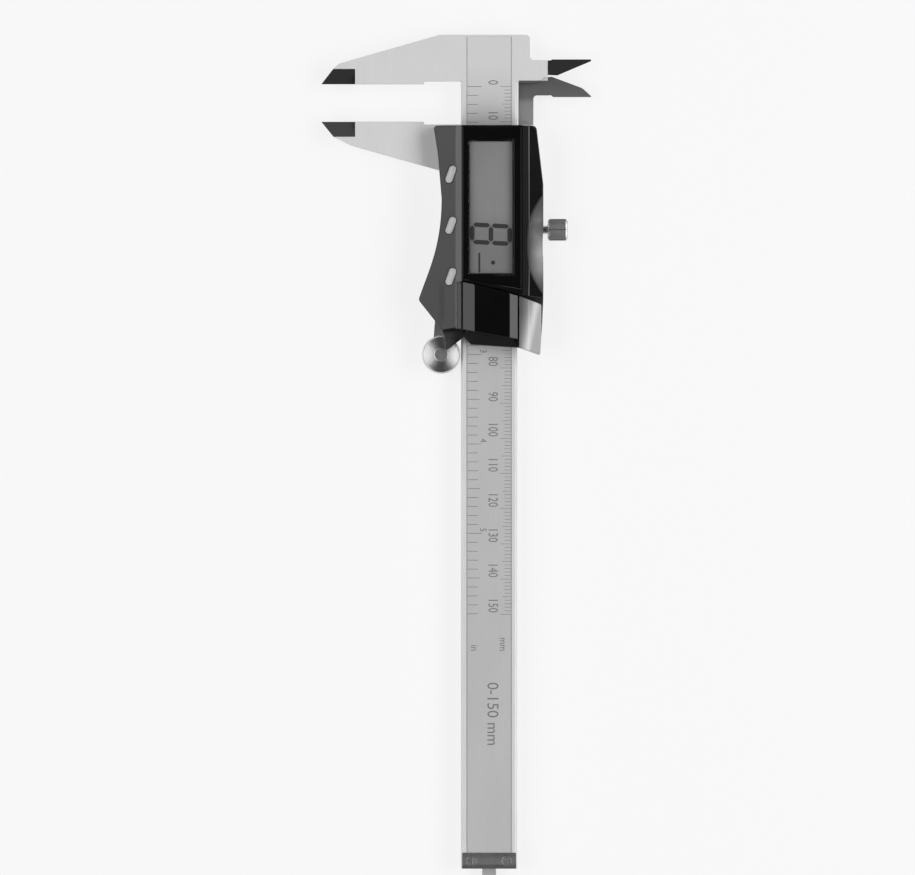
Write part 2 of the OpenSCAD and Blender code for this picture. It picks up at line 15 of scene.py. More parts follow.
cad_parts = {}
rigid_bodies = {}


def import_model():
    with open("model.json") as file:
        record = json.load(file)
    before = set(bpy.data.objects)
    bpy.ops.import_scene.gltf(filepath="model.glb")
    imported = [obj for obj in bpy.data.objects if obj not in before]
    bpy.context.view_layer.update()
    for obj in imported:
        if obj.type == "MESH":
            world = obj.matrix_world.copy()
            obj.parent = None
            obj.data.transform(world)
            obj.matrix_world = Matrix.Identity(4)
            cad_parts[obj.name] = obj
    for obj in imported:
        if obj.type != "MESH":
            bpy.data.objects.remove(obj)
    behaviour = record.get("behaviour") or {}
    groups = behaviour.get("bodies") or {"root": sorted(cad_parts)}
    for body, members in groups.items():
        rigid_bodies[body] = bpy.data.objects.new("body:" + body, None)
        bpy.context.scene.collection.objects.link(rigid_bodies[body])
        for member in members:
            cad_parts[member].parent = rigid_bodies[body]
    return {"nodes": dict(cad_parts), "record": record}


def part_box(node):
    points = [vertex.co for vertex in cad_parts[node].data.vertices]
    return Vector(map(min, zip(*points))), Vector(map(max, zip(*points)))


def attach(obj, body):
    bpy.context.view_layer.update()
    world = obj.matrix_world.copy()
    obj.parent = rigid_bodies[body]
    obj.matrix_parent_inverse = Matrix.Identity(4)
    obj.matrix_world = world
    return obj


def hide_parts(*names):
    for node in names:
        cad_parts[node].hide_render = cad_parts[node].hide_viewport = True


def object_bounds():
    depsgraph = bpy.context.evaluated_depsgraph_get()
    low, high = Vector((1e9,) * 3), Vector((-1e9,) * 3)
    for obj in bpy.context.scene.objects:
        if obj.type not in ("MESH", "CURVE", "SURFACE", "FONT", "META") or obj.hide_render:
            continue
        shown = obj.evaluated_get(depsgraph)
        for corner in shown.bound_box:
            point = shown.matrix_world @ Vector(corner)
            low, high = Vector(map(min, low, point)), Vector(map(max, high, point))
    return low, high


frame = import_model()
cad_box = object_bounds()

MM = 0.001
nodes = frame["nodes"]
mounts = {m["name"]: Vector(m["pos_m"]) for m in frame["record"]["mounts"]}


# ---------------------------------------------------------------- places taken from the CAD

def mm_box(node):
    """A CAD node's box as two corners, in millimetres."""
    low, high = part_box(node)
    return low / MM, high / MM


film_low, film_high = mm_box("scale_film")
beam_low = mm_box("main_beam")[0]
AXIS_Y = (film_low.y + film_high.y) / 2
BEAM = Vector((mounts["fixed_jaw_face"].x / MM, AXIS_Y, beam_low.z))
SLIDER = Vector((mounts["moving_jaw_face"].x / MM, AXIS_Y, beam_low.z))
BUTTONS = ("power_button", "unit_button", "zero_button")
BUTTON_CENTRES = [sum(mm_box(name), Vector()) / 2 for name in BUTTONS]
# Reach round a button's centre that takes in all of its hole's rim
BUTTON_HOLE_R = 3.2

# Painted dark reflections on the bevels of the outside jaws' tips, and how far they run over the measuring
# face
TIP_LEN = 9.6
TIP_W = 4.3
TIP_SPILL = 0.2
# Inside jaws, where shade and dark reflections are painted: the fixed one's start past its ear, and its edge
# before the fixed face
NIB_START = 16.7
NIB_EDGE = 2.4
# The moving one's stem past the beam's edge, its two sides, and its shoulder behind the ear
STEM_START = 8.4
STEM_BACK = 1
STEM_FRONT = 0.9
SHOULDER_BACK = 2.3

# Grip panel on the case: its end along x, its edge out from the middle line, and the far side of the crest,
# where a highlight is painted
GRIP_END = 58.9
GRIP_EDGE = 7.75
GRIP_CREST_EDGE = 9.5
# Valley between the panel and the claw, where shade is painted, the claw itself, whose grey is painted
# shading, and the case's end face
VALLEY_X = (46, 57)
VALLEY_Y = (12.8, 14.0)
CLAW_START = 60.1
CLAW_EDGE = 10.2
END_FACE = 59.2

# Hollow ground out of the case's edge beside the lock screw: a leaning cylinder
RELIEF_AT = SLIDER + Vector((34.9, 11, 10.9))
RELIEF_R = 55
RELIEF_LEAN = math.radians(31)
# How near to that cylinder counts as its wall, for its painted reflection and for a mesh point, and how far
# inward
NEAR_WALL = 0.2
NEAR_WALL_POINT = 0.1
RELIEF_INWARD = 1
# Its rim, and the stretches over which the wall's painted reflection changes
RELIEF_RIM_X = (25, 43)
RELIEF_RIM_Y = 14.0
RELIEF_PAINTED_REFLECTION_X = (24, 46.7)
RELIEF_PAINTED_REFLECTION_Y = (11.2, 14.2)

# Port cover's painted shade and highlight: their stretch across, the cover's middle, and their lean for each
# mm of x
COVER_PAINTED_LIGHT_Y = (8.6, 14.6)
COVER_MID = 54.6
COVER_LEAN = 0.2
# Where the display darkens toward its figure, and where painted light makes the scale foil paler toward the
# fixed jaw
GLASS_SHADE_X = (26, 32)
FOIL_PAINTED_LIGHT_X = (12, -6)


# ---------------------------------------------------------------- material helpers

# Values that most of a noise texture lies between
NOISE_LOW = 0.25
NOISE_HIGH = 0.75
COAT_ROUGH = 0.04


def grey(value):
    """An opaque grey."""
    return (value, value, value, 1)


class Tree:
    """A short way to write a node tree."""

    def __init__(self, tree):
        self.tree = tree
        self.tree.nodes.clear()

    def link(self, a, b):
        self.tree.links.new(a, b)

    def node(self, kind, inputs=None, **settings):
        """A new node. inputs are constants or outputs, by socket name or number."""
        made = self.tree.nodes.new("ShaderNode" + kind)
        for key, value in settings.items():
            setattr(made, key, value)
        for key, value in (inputs or {}).items():
            self.give(made.inputs[key], value)
        return made

    def give(self, socket, value):
        """Links an output to a socket, or sets the socket to a constant."""
        if isinstance(value, bpy.types.NodeSocket):
            self.link(value, socket)
        else:
            socket.default_value = value

    def math(self, operation, *values):
        return self.node("Math", dict(enumerate(values)), operation=operation).outputs[0]

    def both(self, a, b):
        """Where two masks both hold: their product."""
        return self.math("MULTIPLY", a, b)

    def either(self, a, b):
        """Where either mask holds: the greater of the two."""
        return self.math("MAXIMUM", a, b)

    def share(self, value, start, end, low=0.0, high=1.0):
        """Runs from low where value is at start to high where it is at end, and no further."""
        return self.node("MapRange", {0: value, 1: start, 2: end, 3: low, 4: high}).outputs[0]

    def ramp(self, value, stops):
        """Turns a value into colours. stops are (place, grey or colour), in order."""
        made = self.node("ValToRGB", {0: value})
        elements = made.color_ramp.elements
        while len(elements) < len(stops):
            elements.new(0.5)
        for element, (place, tone) in zip(elements, stops):
            element.position = place
            element.color = tone if isinstance(tone, tuple) else grey(tone)
        return made.outputs[0]


class Nodes(Tree):
    """A material's node tree, with the object's coordinates and one shader."""

    def __init__(self, name, **principled):
        self.material = bpy.data.materials.new(name)
        self.material.use_nodes = True
        super().__init__(self.material.node_tree)
        self.shader = self.node("BsdfPrincipled")
        self.node("OutputMaterial", {0: self.shader.outputs[0]})
        for key, value in principled.items():
            self.shader.inputs[key.replace("_", " ")].default_value = value
        self.coords = self.node("TexCoord").outputs["Object"]

    def noise(self, per_metre, detail=2.0, roughness=0.5):
        """Noise in cells a metre: one number, or one for each axis to draw it out along an axis."""
        scale = per_metre if isinstance(per_metre, tuple) else (per_metre,) * 3
        stretched = self.node("Mapping", {0: self.coords, 3: scale}).outputs[0]
        inputs = {"Vector": stretched, "Scale": 1.0, "Detail": detail, "Roughness": roughness}
        return self.node("TexNoise", inputs).outputs[0]

    def spread(self, noise, low, high):
        """Maps a noise onto low to high."""
        return self.share(noise, NOISE_LOW, NOISE_HIGH, low, high)

    def mottle(self, noise, low, high):
        """A grey or colour that wanders between two values with a noise."""
        return self.ramp(self.spread(noise, 0, 1), [(0, low), (1, high)])

    def mix(self, factor, a, b):
        """Colour a where factor is 0, and b where it is 1."""
        made = self.node("Mix", data_type="RGBA")
        for socket, value in zip((made.inputs[0], made.inputs[6], made.inputs[7]), (factor, a, b)):
            self.give(socket, value)
        return made.outputs[2]

    def axis(self, name):
        """One object coordinate, in millimetres."""
        split = self.node("SeparateXYZ", {0: self.coords})
        return self.math("MULTIPLY", split.outputs[name], 1 / MM)

    def above(self, value, edge, soft=0.05):
        """1 where value is over edge, with a soft edge."""
        return self.share(value, edge - soft, edge + soft)

    def below(self, value, edge, soft=0.05):
        """1 where value is under edge, with a soft edge."""
        return self.share(value, edge + soft, edge - soft)

    def between(self, value, low, high, soft=0.05):
        """1 where value is between low and high, with soft edges."""
        return self.both(self.above(value, low, soft), self.below(value, high, soft))

    def finish(self, colour=None, roughness=None, bumps=()):
        """Joins up the shader. bumps are (height, strength, distance in mm)."""
        if colour is not None:
            self.link(colour, self.shader.inputs["Base Color"])
        if roughness is not None:
            self.link(roughness, self.shader.inputs["Roughness"])
        normal = None
        for height, strength, distance in bumps:
            inputs = {"Strength": strength, "Distance": distance * MM, "Height": height}
            if normal is not None:
                inputs["Normal"] = normal
            normal = self.node("Bump", inputs).outputs[0]
        if normal is not None:
            self.link(normal, self.shader.inputs["Normal"])
        return self.material


# ---------------------------------------------------------------- metals

def ground_steel():
    """Hardened steel, flat ground along X, with dark reflections painted on the jaw tips' bevels, and shade
    and dark reflections painted on the inside jaws.
    """
    m = Nodes("ground_steel", Metallic=1.0)
    grain = m.noise((90, 9000, 9000), detail=4, roughness=0.65)
    fine = m.noise((400, 30000, 30000))
    cloud = m.noise(60, detail=3)
    colour = m.mix(m.spread(cloud, 0, 0.35), m.mottle(grain, 0.655, 0.75), grey(0.64))
    # Painted shade and dark reflections on the inside jaws
    colour = inside_jaw_shades(m, colour)
    # Painted dark reflections on the bevels of the outside jaws' tips
    colour = outside_tip_shades(m, colour)
    rough = m.math("ADD", m.spread(grain, 0.66, 0.76), m.spread(cloud, -0.02, 0.05))
    return m.finish(colour, rough, [(grain, 0.14, 0.03), (fine, 0.05, 0.01)])


def inside_jaw_shades(m, colour):
    """Paints shade and dark reflections on the two inside jaws: darkest on the fixed one, and on the moving
    one darker toward its shoulder.
    """
    x, y = m.axis("X"), m.axis("Y")
    past_ear = m.above(y, AXIS_Y + NIB_START)
    stem = m.both(m.above(y, AXIS_Y + STEM_START), m.between(x, BEAM.x - STEM_BACK, SLIDER.x + STEM_FRONT))
    shoulder = m.both(past_ear, m.between(x, BEAM.x - SHOULDER_BACK, BEAM.x))
    # Painted shade on the moving inside jaw's stem and shoulder, darker toward the fixed face
    shade = m.ramp(m.share(x, BEAM.x, SLIDER.x), [(0, 0.135), (0.35, 0.165), (0.5, 0.29), (1, 0.36)])
    colour = m.mix(m.either(stem, shoulder), colour, shade)
    # The fixed inside jaw past its ear gets a near-black painted reflection
    fixed_nib = m.both(past_ear, m.below(x, BEAM.x - NIB_EDGE))
    return m.mix(fixed_nib, colour, grey(0.045))


def outside_tip_shades(m, colour):
    """Paints dark reflections on the bevels of the outside jaws' tips."""
    x = m.axis("X")
    near_tip = m.below(m.axis("Y"), beam_low.y + TIP_LEN)
    fixed_bevel = m.between(x, BEAM.x - TIP_W, BEAM.x + TIP_SPILL)
    moving_bevel = m.between(x, SLIDER.x - TIP_SPILL, SLIDER.x + TIP_W)
    # Painted reflections: the fixed tip's bevel near black, the moving tip's a little lighter
    colour = m.mix(m.both(near_tip, fixed_bevel), colour, grey(0.045))
    return m.mix(m.both(near_tip, moving_bevel), colour, grey(0.094))


def satin_metal(name, value, rough, grain_scale=6000, tint=(1, 1, 1)):
    """A turned or drawn metal with fine even texture."""
    m = Nodes(name, Metallic=1.0)
    grain = m.noise(grain_scale, detail=3)
    cloud = m.noise(250)
    low = tuple(value * 0.88 * t for t in tint) + (1,)
    high = tuple(value * 1.1 * t for t in tint) + (1,)
    rough_spread = m.spread(grain, rough - 0.06, rough + 0.08)
    return m.finish(m.mottle(cloud, low, high), rough_spread, [(grain, 0.12, 0.01)])


def turned_face():
    """Steel turned about the piece's own z axis, whose fine grooves spread reflections outward."""
    m = Nodes("turned_face", Metallic=1.0, Anisotropic=0.85, Anisotropic_Rotation=0.25)
    around = m.node("Tangent", direction_type="RADIAL", axis="Z")
    m.link(around.outputs[0], m.shader.inputs["Tangent"])
    grain = m.noise(6000)
    return m.finish(m.mottle(grain, 0.62, 0.74), m.spread(grain, 0.38, 0.46), [(grain, 0.08, 0.01)])


def scale_foil():
    """Satin anodised scale foil with a fine drawn grain along the beam, and painted light that makes it
    paler by the fixed jaw.
    """
    m = Nodes("scale_foil", Metallic=0.75)
    grain = m.noise((150, 12000, 12000), detail=3)
    cloud = m.noise((40, 90, 40), detail=3)
    colour = m.mix(m.spread(cloud, 0, 0.3), m.mottle(grain, 0.485, 0.565), grey(0.44))
    # Painted light: the foil turns paler toward the fixed jaw
    painted_light_toward_jaw = m.share(m.axis("X"), *[BEAM.x + x for x in FOIL_PAINTED_LIGHT_X])
    colour = m.mix(painted_light_toward_jaw, colour, grey(0.645))
    return m.finish(colour, m.spread(grain, 0.62, 0.72), [(grain, 0.08, 0.01)])


# ---------------------------------------------------------------- plastics, glass and print

def moulded(name, value, rough, texture=0.15, specular=0.5):
    """Moulded plastic with a fine sparked texture and slight variation."""
    m = Nodes(name, Specular_IOR_Level=specular)
    grain = m.noise(9000)
    cloud = m.noise(120, detail=3)
    colour = m.mottle(cloud, value * 0.85, value * 1.15)
    roughness = m.math("ADD", m.spread(cloud, rough - 0.03, rough + 0.04), m.spread(grain, -0.02, 0.02))
    return m.finish(colour, roughness, [(grain, texture, 0.01)])


def case_plastic():
    """Glossy black case with a satin grey grip panel, a painted highlight along its crest, and a painted
    reflection in the lock relief.
    """
    m = Nodes("case_plastic", Specular_IOR_Level=0.30)
    grain = m.noise(7000)
    cloud = m.noise(70, detail=3)
    panel, crest = grip_masks(m)
    relief = m.either(in_relief(m), relief_rim(m))
    colour = case_tones(m, m.spread(cloud, 0, 1), panel, crest)
    # Painted reflection on the relief's wall and rim
    colour = m.mix(relief, colour, relief_tone(m))
    matt = m.either(panel, relief)
    gloss = m.math("SUBTRACT", 1.0, matt)
    end_face = m.above(m.axis("X"), SLIDER.x + END_FACE, soft=0.6)
    smooth = m.math("ADD", m.spread(cloud, 0.06, 0.10), m.math("MULTIPLY", end_face, 0.3))
    rough = m.math("ADD", m.both(matt, m.spread(grain, 0.28, 0.38)), m.both(gloss, smooth))
    return m.finish(colour, rough, [(m.both(grain, matt), 0.18, 0.01)])


def grip_masks(m):
    """Where the grip panel is, and the crest along its edge, which gets a painted highlight."""
    y = m.axis("Y")
    on_grip = m.below(m.axis("X"), SLIDER.x + GRIP_END, soft=0.2)
    panel = m.below(y, AXIS_Y - GRIP_EDGE, soft=0.1)
    crest = m.between(y, AXIS_Y - GRIP_CREST_EDGE, AXIS_Y - GRIP_EDGE, soft=0.2)
    return m.both(panel, on_grip), m.both(crest, on_grip)


def case_tones(m, wander, panel, crest):
    """Black of the case and grey of its panel, with painted shade in the valley and painted shading on the
    claw past the panel.
    """
    x, y = m.axis("X"), m.axis("Y")
    # Where shade is painted for the valley
    valley = m.both(m.between(y, AXIS_Y - VALLEY_Y[1], AXIS_Y - VALLEY_Y[0], soft=0.7),
                    m.between(x, SLIDER.x + VALLEY_X[0], SLIDER.x + VALLEY_X[1], soft=1.5))
    claw = m.both(m.below(y, AXIS_Y - CLAW_EDGE, soft=1.2), m.above(x, SLIDER.x + CLAW_START, soft=0.6))
    colour = m.mix(wander, grey(0.004), grey(0.006))
    colour = m.mix(panel, colour, m.mix(wander, grey(0.019), grey(0.026)))
    # Painted highlight along the panel's crest
    colour = m.mix(crest, colour, grey(0.08))
    # Painted shade in the valley
    colour = m.mix(valley, colour, grey(0.003))
    # The claw's grey is painted shading
    return m.mix(claw, colour, grey(0.034))


def base_plastic():
    """Satin black lower shell, which the same painted reflection of the hollow runs down into."""
    m = Nodes("base_plastic")
    grain = m.noise(9000)
    cloud = m.noise(120, detail=3)
    # Painted reflection where the relief runs down into the lower shell
    colour = m.mix(in_relief(m), m.mottle(cloud, 0.019, 0.025), relief_tone(m))
    return m.finish(colour, m.spread(grain, 0.42, 0.50), [(grain, 0.25, 0.01)])


def relief_tone(m):
    """Painted reflection on the relief's wall: paler outward, and palest a little past the lock screw."""
    outward = m.share(m.axis("Y"), *[AXIS_Y + y for y in RELIEF_PAINTED_REFLECTION_Y])
    along = m.share(m.axis("X"), *[SLIDER.x + x for x in RELIEF_PAINTED_REFLECTION_X])
    # Painted reflection, palest a little past the lock screw
    share = m.ramp(along, [(0, 0.08), (0.1, 0.20), (0.3, 0.38), (0.42, 0.55), (0.5, 0.75),
                           (0.6, 1.0), (0.7, 0.75), (0.8, 0.65), (0.9, 0.30), (1, 0.11)])
    return m.mix(share, grey(0.004), m.ramp(outward, [(0, 0.010), (1, 0.28)]))


def relief_rim(m):
    """1 on the thin rim that the relief leaves at the case's edge, where the relief's painted reflection
    also goes.
    """
    along = m.between(m.axis("X"), *[SLIDER.x + x for x in RELIEF_RIM_X], soft=2)
    return m.both(m.above(m.axis("Y"), AXIS_Y + RELIEF_RIM_Y, soft=0.2), along)


def in_relief(m):
    """1 on the wall of the lock relief, and 0 elsewhere on the case."""
    offset = m.node("VectorMath", {0: m.coords, 1: RELIEF_AT * MM}, operation="SUBTRACT").outputs[0]
    split = m.node("SeparateXYZ", {0: offset})
    depth = m.math("ADD", m.math("MULTIPLY", split.outputs["Y"], math.cos(RELIEF_LEAN) / MM),
                   m.math("MULTIPLY", split.outputs["Z"], math.sin(RELIEF_LEAN) / MM))
    across = m.math("MULTIPLY", split.outputs["X"], 1 / MM)
    from_axis = m.math("SUBTRACT", depth, RELIEF_R)
    squares = m.math("ADD", m.both(across, across), m.both(from_axis, from_axis))
    return m.between(m.math("SQRT", squares), RELIEF_R - NEAR_WALL, RELIEF_R + NEAR_WALL)


def display_glass():
    """Reflective liquid crystal: a mid grey film with a faint diffuser grain and soft streaks."""
    m = Nodes("display_glass", Coat_Weight=0.25, Coat_Roughness=COAT_ROUGH)
    grain = m.noise(5000)
    cloud = m.noise((45, 90, 45), detail=3)
    toward_figure = m.share(m.axis("X"), *[SLIDER.x + x for x in GLASS_SHADE_X], high=0.45)
    tone = m.mix(toward_figure, m.mottle(cloud, 0.265, 0.315), grey(0.16))
    colour = m.mix(m.spread(grain, 0, 0.12), tone, grey(0.21))
    return m.finish(colour, m.spread(grain, 0.32, 0.42), [(grain, 0.05, 0.01)])


def lens_plastic():
    """Clear acrylic window."""
    m = Nodes("lens_plastic", Base_Color=grey(0.02), Alpha=0.10, Specular_IOR_Level=0.5)
    haze = m.noise(150, detail=3)
    return m.finish(None, m.spread(haze, 0.02, 0.06), [(haze, 0.02, 0.01)])


def cover_plastic():
    """Bright silver cover, with painted shade at its inner edge and a painted highlight further out, like
    the hollow it is moulded with.
    """
    m = Nodes("cover_plastic")
    grain = m.noise(9000)
    cloud = m.noise(120, detail=3)
    # Painted shade at the inner edge and a painted highlight further out, leaning along x
    lean = m.math("MULTIPLY_ADD", m.axis("X"), COVER_LEAN, -COVER_LEAN * (SLIDER.x + COVER_MID))
    outward = m.share(m.math("ADD", m.axis("Y"), lean), *[AXIS_Y + y for y in COVER_PAINTED_LIGHT_Y])
    tone = m.ramp(outward, [(0, 0.045), (0.2, 0.10), (0.35, 0.18), (0.5, 0.34), (0.66, 0.58),
                            (0.75, 0.58), (0.93, 0.36)])
    colour = m.mix(m.spread(cloud, 0, 0.2), tone, grey(0.30))
    return m.finish(colour, m.spread(grain, 0.26, 0.34), [(grain, 0.08, 0.01)])


def board_laminate():
    """Green solder mask over a woven laminate."""
    m = Nodes("board_laminate", Coat_Weight=0.3, Coat_Roughness=COAT_ROUGH)
    weave = m.noise(1500, detail=1)
    cloud = m.noise(400, detail=3)
    colour = m.mottle(cloud, (0.010, 0.045, 0.018, 1), (0.018, 0.080, 0.030, 1))
    return m.finish(colour, m.spread(weave, 0.28, 0.42), [(weave, 0.15, 0.02)])


def print_ink(name, value):
    """Dull printed ink, a little worn."""
    m = Nodes(name)
    worn = m.noise(3500, detail=3)
    return m.finish(m.mottle(worn, value, value * 1.4), m.spread(worn, 0.4, 0.55), [(worn, 0.08, 0.005)])


MATERIAL = {
    "ground_steel": ground_steel(),
    "scale_print": scale_foil(),
    "board": board_laminate(),
    "blackened_steel": satin_metal("stop_steel", 0.19, 0.56),
    "screw_steel": satin_metal("screw_steel", 0.50, 0.34),
    "brass": satin_metal("brass", 0.70, 0.35, tint=(1.0, 0.72, 0.36)),
    "black_plastic": moulded("black_plastic", 0.022, 0.46, texture=0.25),
    "grey_plastic": case_plastic(),
    "gloss_black": moulded("gloss_black", 0.0035, 0.06, texture=0.02, specular=0.4),
    "clear_lens": lens_plastic(),
    "display": display_glass(),
    "white_plastic": moulded("white_plastic", 0.72, 0.45),
    "elastomer": moulded("elastomer", 0.10, 0.7, texture=0.4),
    "chip_black": moulded("chip_black", 0.018, 0.55, texture=0.4),
    "nickel_contact": satin_metal("nickel_contact", 0.62, 0.24),
    "gold_contact": satin_metal("gold_contact", 0.85, 0.26, tint=(1.0, 0.78, 0.40)),
    "silver_plastic": moulded("button_plastic", 0.36, 0.30, texture=0.08),
    "turned_steel": satin_metal("turned_steel", 0.68, 0.32, grain_scale=14000),
}
# Nodes that look different from the others in their slot
FINISH_OF = {
    # The depth rod has a darker copy of the steel: painted shade
    "depth_rod": satin_metal("drawn_steel", 0.50, 0.58),
    "battery_door": moulded("door_plastic", 0.0035, 0.06, texture=0.02, specular=0.32),
    "port_cover": cover_plastic(),
    "case_base": base_plastic(),
}
SCALE_INK = print_ink("scale_ink", 0.13)
DISPLAY_INK = print_ink("display_ink", 0.03)


# ---------------------------------------------------------------- mesh helpers

# Thickness of what is printed
PRINT_T = 0.03
TEXT_CURVE_STEPS = 3


def set_creases(bm, smooth_angle, crisp):
    """Keeps edges sharp that turn by more than smooth_angle degrees, and those in crisp."""
    for edge in bm.edges:
        edge.smooth = len(edge.link_faces) == 2 and edge.calc_face_angle(0) < math.radians(smooth_angle)
    for edge in crisp:
        edge.smooth = False
    for face in bm.faces:
        face.smooth = True


def new_piece(name, bm, body, material, smooth_angle=35, replaces=(), origin=None, crisp=()):
    """Turns a bmesh made in millimetres into a piece that rides on a body."""
    origin = origin or Vector()
    bmesh.ops.translate(bm, vec=-origin, verts=bm.verts)
    bmesh.ops.recalc_face_normals(bm, faces=bm.faces)
    set_creases(bm, smooth_angle, crisp)
    bmesh.ops.scale(bm, vec=(MM, MM, MM), verts=bm.verts)
    mesh = bpy.data.meshes.new(name)
    bm.to_mesh(mesh)
    bm.free()
    piece = bpy.data.objects.new(name, mesh)
    bpy.context.scene.collection.objects.link(piece)
    mesh.materials.append(material)
    piece.location = origin * MM
    normals = piece.modifiers.new("normals", "WEIGHTED_NORMAL")
    normals.keep_sharp = True
    normals.use_face_influence = True
    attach(piece, body)
    if replaces:
        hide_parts(*replaces)


def add_block(bm, low, high):
    """A box between two corners."""
    made = bmesh.ops.create_cube(bm, size=1.0)["verts"]
    size = [b - a for a, b in zip(low, high)]
    centre = [(a + b) / 2 for a, b in zip(low, high)]
    bmesh.ops.scale(bm, vec=size, verts=made)
    bmesh.ops.translate(bm, vec=centre, verts=made)


def add_rings(bm, rings, capped=True):
    """Skins a stack of closed rings, each the same number of points."""
    rows = [[bm.verts.new(p) for p in ring] for ring in rings]
    count = len(rows[0])
    for a, b in zip(rows, rows[1:]):
        for k in range(count):
            bm.faces.new((a[k], a[(k + 1) % count], b[(k + 1) % count], b[k]))
    if capped:
        bm.faces.new(rows[0][::-1])
        bm.faces.new(rows[-1])


def add_text(bm, words, place, size, narrow=0.85, align="RIGHT"):
    """Flat figures with a little thickness, face up, with the side that align names at place."""
    curve = bpy.data.curves.new("figures", "FONT")
    curve.body = words
    curve.size = size
    curve.align_x = align
    curve.align_y = "CENTER"
    curve.extrude = PRINT_T / 2
    curve.resolution_u = TEXT_CURVE_STEPS
    holder = bpy.data.objects.new("figures", curve)
    bpy.context.scene.collection.objects.link(holder)
    evaluated = holder.evaluated_get(bpy.context.evaluated_depsgraph_get())
    mesh = bpy.data.meshes.new_from_object(evaluated)
    mesh.transform(Matrix.Translation(place) @ Matrix.Diagonal((narrow, 1, 1, 1)))
    bm.from_mesh(mesh)
    bpy.data.objects.remove(holder)
    bpy.data.curves.remove(curve)
    bpy.data.meshes.remove(mesh)


# ---------------------------------------------------------------- CAD nodes that keep their shape

# Radius that each node's sharp edges are rounded to
EDGE_ROUND = {
    "main_beam": 0.10, "slider_frame": 0.12, "depth_rod": 0.12, "end_stop": 0.12, "case_base": 0.2,
    "case_cover": 0.35, "display_bezel": 0.12, "battery_door": 0.35, "port_cover": 0.35,
    "roller_bracket": 0.1, "lcd_holder": 0.1, "circuit_board": 0.05, "controller_chip": 0.1,
    "battery_cell": 0.3, "port_connector": 0.1, "roller_axle": 0.12, "bracket_screw": 0.08,
    "case_screws": 0.06, "end_stop_screws": 0.06, "gib_strip": 0.08, "display_lens": 0.08,
}
# An outward edge that turns by more than this is rounded
ROUND_FROM = math.radians(22)
ROUND_STEPS = 3
# Points this near are one, and triangles this near to flat are joined into one face
SAME_POINT = 0.002
SAME_PLANE = math.radians(0.5)
SLOT_OF = {s["node"]: s["material_slot"] for s in frame["record"]["subparts"]}
BODY_OF = {name: piece.parent.name.split(":")[1] for name, piece in nodes.items()}
OWN_SHAPE = {*BUTTONS, "thumb_roller", "lock_screw"}


def at_relief(point):
    """Whether a point lies on the wall of the lock relief."""
    p = point - RELIEF_AT
    depth = p.y * math.cos(RELIEF_LEAN) + p.z * math.sin(RELIEF_LEAN)
    off_wall = abs(math.hypot(p.x, depth - RELIEF_R) - RELIEF_R)
    return p.y > -RELIEF_INWARD and off_wall < NEAR_WALL_POINT


def at_button_hole(point):
    """Whether a point lies on the rim of a button's hole in the grip panel."""
    return any((point.xy - centre.xy).length < BUTTON_HOLE_R and point.z > centre.z
               for centre in BUTTON_CENTRES)


def to_be_rounded(edge):
    """Whether an edge is sharp and outward, and not one that has to stay crisp."""
    sharp = edge.is_convex and edge.calc_face_angle(0) > ROUND_FROM
    return sharp and not all(at_relief(v.co) or at_button_hole(v.co) for v in edge.verts)


def bounds_relief(edge):
    """Whether just one of an edge's faces lies on the lock relief."""
    return len({all(at_relief(v.co) for v in face.verts) for face in edge.link_faces}) == 2


def rounded_node(name, slot):
    """Stands in for a CAD node: the same shape with its outward edges rounded."""
    bm = bmesh.new()
    bm.from_mesh(nodes[name].data)
    bmesh.ops.scale(bm, vec=(1 / MM, 1 / MM, 1 / MM), verts=bm.verts)
    bmesh.ops.remove_doubles(bm, verts=bm.verts, dist=SAME_POINT)
    bmesh.ops.join_triangles(bm, faces=bm.faces, angle_face_threshold=SAME_PLANE,
                             angle_shape_threshold=math.pi)
    if name in EDGE_ROUND:
        bmesh.ops.bevel(bm, geom=[e for e in bm.edges if to_be_rounded(e)], offset=EDGE_ROUND[name],
                        offset_type="OFFSET", segments=ROUND_STEPS, profile=0.5, affect="EDGES",
                        clamp_overlap=False, miter_outer="ARC", face_strength_mode="ALL")
    bmesh.ops.triangulate(bm, faces=[f for f in bm.faces if len(f.verts) > 4])
    crisp = [e for e in bm.edges if bounds_relief(e)]
    material = FINISH_OF[name] if name in FINISH_OF else MATERIAL[slot]
    new_piece(name + "_finished", bm, BODY_OF[name], material, smooth_angle=30,
              replaces=[name], crisp=crisp)


for node_name, node_slot in SLOT_OF.items():
    if node_name not in OWN_SHAPE:
        rounded_node(node_name, node_slot)


# ---------------------------------------------------------------- scale print

FILM_TOP = film_high.z
FILM_HALF = (film_high.y - film_low.y) / 2
# The scale's zero, past the fixed measuring face
SCALE_ZERO = 0.7
SCALE_LEN = 150
INCH = 25.4
INCHES = 6
TICK_W = 0.13
INCH_TICK_W = 0.16
TICK_INSET = 0.25
# Tick lengths: every tenth, every fifth, and the rest
MM_TICKS = (3.0, 2.4, 1.8)
INCH_TICKS = (4.0, 3.5, 3.0)
# Figures, as (x past their tick, y out from the middle line, size, width share)
MM_FIGURE = (-0.45, 1.0, 3.9, 0.72)
INCH_FIGURE = (-0.4, -1.75, 2.7, 0.85)
# Names of the units, with how far out from the middle line each stands
UNITS = {"mm": 3.9, "in": -4.3}
UNIT_X = 161.2
UNIT_SIZE = 3.0
# Printed line along each side of the film
BORDER_INSET = 0.1
BORDER_Y = 0.12
BORDER_HALF_W = 0.06
# Legend of the measuring range
LEGEND_AT = (170, 0.9)
LEGEND_SIZE = 4.6
LEGEND_NARROW = 0.95


def on_film(x, y):
    """A point on the film's face, from BEAM."""
    return BEAM + Vector((x, y, FILM_TOP - BEAM.z))


